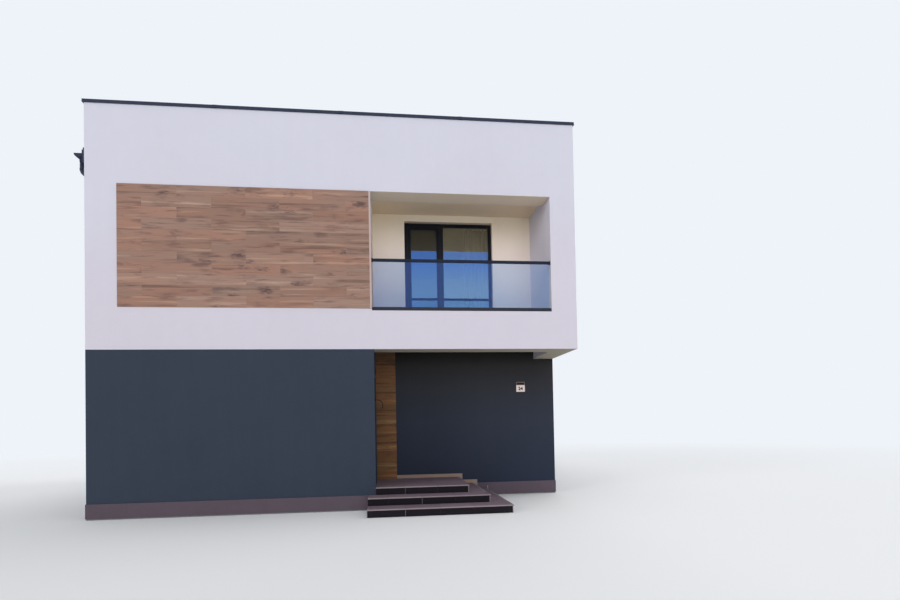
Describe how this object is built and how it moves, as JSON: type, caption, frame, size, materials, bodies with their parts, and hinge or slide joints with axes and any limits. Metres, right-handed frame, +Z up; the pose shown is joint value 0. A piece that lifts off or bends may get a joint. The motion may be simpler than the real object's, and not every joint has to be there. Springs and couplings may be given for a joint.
{
  "type": "detached house",
  "caption": "Two-storey modern house with a white upper box over a dark ground floor, a corner porch with wrap-round steps and a recessed balcony with a glass rail.",
  "frame": {"origin": "centre of the main footprint, steps left out, at ground level", "axes": "+Z up, -Y out of the front face with the balcony, +X to the right seen from the front"},
  "size_m": [9.465, 10.89, 7.492],
  "materials": {
    "concrete": "rough grey concrete",
    "dark_render": "fine textured anthracite wall paint",
    "white_render": "fine textured white wall paint",
    "floor_screed": "smooth pale screed and ceiling paint",
    "plinth_tile": "matt brown grey porcelain tile",
    "wood_look_tile": "matt wood look porcelain planks",
    "warm_wood_tile": "matt golden wood look porcelain planks",
    "black_tile": "satin near black porcelain tile",
    "tread_tile": "matt grey brown porcelain slab with pale edge",
    "balcony_tile": "matt grey porcelain tile",
    "anthracite_frame": "satin anthracite powder coat",
    "dark_metal": "matt anthracite coated steel sheet",
    "roof_metal": "matt anthracite standing seam sheet",
    "clear_glass": "clear double glazing",
    "rail_glass": "lightly frosted laminated glass",
    "door_leaf": "satin anthracite door panel with steel handle",
    "plate": "pale plate with dark band and plain digits",
    "timber": "planed roof timber and insulation",
    "curtain_fabric": "light woven curtain cloth",
    "white_metal": "white coated track"
  },
  "bodies": {
    "root": {"foundation": "concrete", "plinth_tiles": "plinth_tile", "ground_floor": "floor_screed", "lower_front_wall": "dark_render", "lower_left_wall": "dark_render", "lower_rear_wall": "dark_render", "lower_right_wall": "dark_render", "porch_return_wall": "dark_render", "porch_back_wall": "dark_render", "porch_wood_tiles": "warm_wood_tile", "entrance_frame": "anthracite_frame", "entrance_leaf": "door_leaf", "number_plate": "plate", "wall_hook": "dark_metal", "landing": "black_tile", "upper_step": "black_tile", "lower_step": "black_tile", "step_treads": "tread_tile", "first_floor": "floor_screed", "upper_front_wall": "white_render", "upper_left_wall": "white_render", "upper_rear_wall": "white_render", "upper_right_wall": "white_render", "facade_tiles": "wood_look_tile", "balcony_left_wall": "white_render", "balcony_back_wall": "white_render", "balcony_floor": "balcony_tile", "balcony_ceiling": "white_render", "rail_channel": "anthracite_frame", "rail_glass": "rail_glass", "handrail": "anthracite_frame", "balcony_door_frame": "anthracite_frame", "balcony_door_leaf": "anthracite_frame", "balcony_door_glass": "clear_glass", "curtain_track": "white_metal", "curtain": "curtain_fabric", "window_frames": "anthracite_frame", "window_glass": "clear_glass", "window_sills": "dark_metal", "roof_deck": "timber", "roof_sheet": "roof_metal", "parapet_coping": "dark_metal", "parapet_facing": "dark_metal", "eave_board": "dark_metal", "gutter": "dark_metal", "downpipe": "dark_metal"}
  },
  "joints": []
}
